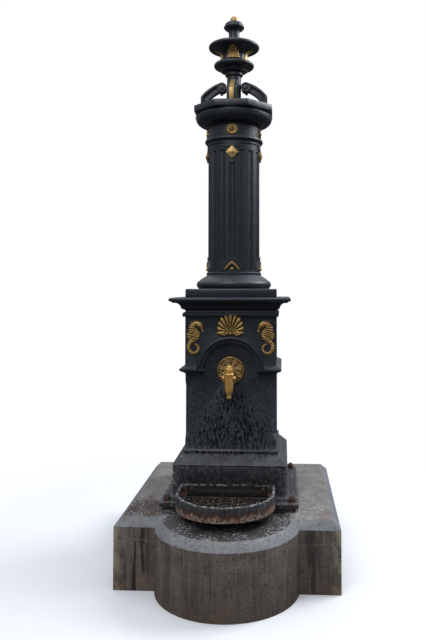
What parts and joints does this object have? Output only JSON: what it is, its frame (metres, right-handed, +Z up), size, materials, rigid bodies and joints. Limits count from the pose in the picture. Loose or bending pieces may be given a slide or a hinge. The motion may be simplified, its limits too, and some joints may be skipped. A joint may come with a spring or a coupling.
{
  "type": "drinking fountain",
  "caption": "Cast-iron drinking fountain: square pedestal with arched niche and push tap, fluted column and finial, half-round drain tray, stone plinth.",
  "frame": {"origin": "on the ground, under the column's axis", "axes": "+Z up; the front with the tap faces -Y; +X is to the right seen from the front"},
  "size_m": [1.1, 1.4008, 2.999],
  "materials": {
    "concrete": "weathered grey-brown concrete, matt",
    "mortar": "dark damp mortar, matt",
    "painted_iron": "satin near-black paint over cast iron",
    "gilding": "aged antique-gold leaf, satin with dark recesses",
    "tap_brass": "worn warm brass, half polished",
    "zinc_steel": "dull zinc-plated steel",
    "rusty_steel": "rusted steel, matt",
    "rubber": "black rubber, matt",
    "copper_pipe": "dull copper, oxidised",
    "waste_pipe": "dark grey pipe, matt",
    "tray_iron": "worn and rusted black paint over cast iron, light grey worn rim",
    "grate_iron": "rusted cast iron, damp",
    "lever_red": "red dipped lever, worn"
  },
  "bodies": {
    "fountain": {"stone_plinth": "concrete", "mortar_bed": "mortar", "base_flange": "painted_iron", "pedestal_base": "painted_iron", "base_skirt": "painted_iron", "pedestal_body": "painted_iron", "cornice": "painted_iron", "anchor_studs": "rusty_steel", "anchor_nuts": "rusty_steel", "body_tie_bolts": "zinc_steel", "cornice_screws": "zinc_steel", "column_block": "painted_iron", "column_base": "painted_iron", "column_shaft": "painted_iron", "gold_chevrons": "gilding", "gold_balls": "gilding", "lozenge_bosses": "gilding", "neck_ring": "painted_iron", "capital": "painted_iron", "capital_rosettes": "gilding", "abacus": "painted_iron", "bracket_front": "painted_iron", "bracket_right": "painted_iron", "bracket_back": "painted_iron", "bracket_left": "painted_iron", "bracket_inlays": "gilding", "finial_post": "painted_iron", "finial_lower_disc": "painted_iron", "finial_upper_disc": "painted_iron", "finial_leaves": "gilding", "finial_cap": "painted_iron", "finial_acorn": "gilding", "tie_rod": "zinc_steel", "scallop_shell": "gilding", "seahorse_left": "gilding", "seahorse_right": "gilding", "tap_plate": "tap_brass", "tap_body": "tap_brass", "tap_bonnet": "tap_brass", "tap_spring": "zinc_steel", "tap_seal": "rubber", "tap_nozzle": "tap_brass", "tap_side_plugs": "tap_brass", "tap_backnut": "tap_brass", "supply_elbow": "tap_brass", "supply_pipe": "copper_pipe", "riser_pipe": "copper_pipe", "stop_valve_body": "tap_brass", "tray": "tray_iron", "tray_pan": "tray_iron", "tray_bolts": "zinc_steel", "drain_pipe": "waste_pipe", "door_hinges": "painted_iron"},
    "button": {"tap_button": "tap_brass", "tap_spindle": "tap_brass", "tap_washer": "rubber"},
    "valve_lever": {"stop_valve_lever": "lever_red"},
    "door": {"service_door": "painted_iron"},
    "lock": {"door_lock": "zinc_steel"},
    "grate": {"tray_grate": "grate_iron"}
  },
  "joints": [
    {"name": "button_press", "type": "slide", "parent": "fountain", "child": "button", "axis": [0, 0, -1], "range_m": [0, 0.007], "stiffness_N_per_m": 500, "springref_m": -0.01, "deforming": ["tap_spring"]},
    {"name": "valve_turn", "type": "hinge", "parent": "fountain", "child": "valve_lever", "pos_m": [0, -0.082, 0.762], "axis": [0, 1, 0], "range_deg": [0, 90]},
    {"name": "door_swing", "type": "hinge", "parent": "fountain", "child": "door", "pos_m": [0.14, 0.2455, 0.828], "axis": [0, 0, -1], "range_deg": [0, 110]},
    {"name": "lock_turn", "type": "hinge", "parent": "door", "child": "lock", "pos_m": [-0.106, 0.24, 0.828], "axis": [0, 1, 0], "range_deg": [0, 90]},
    {"name": "grate_lift", "type": "slide", "parent": "fountain", "child": "grate", "axis": [0, 0, 1], "range_m": [0, 0.06]}
  ]
}
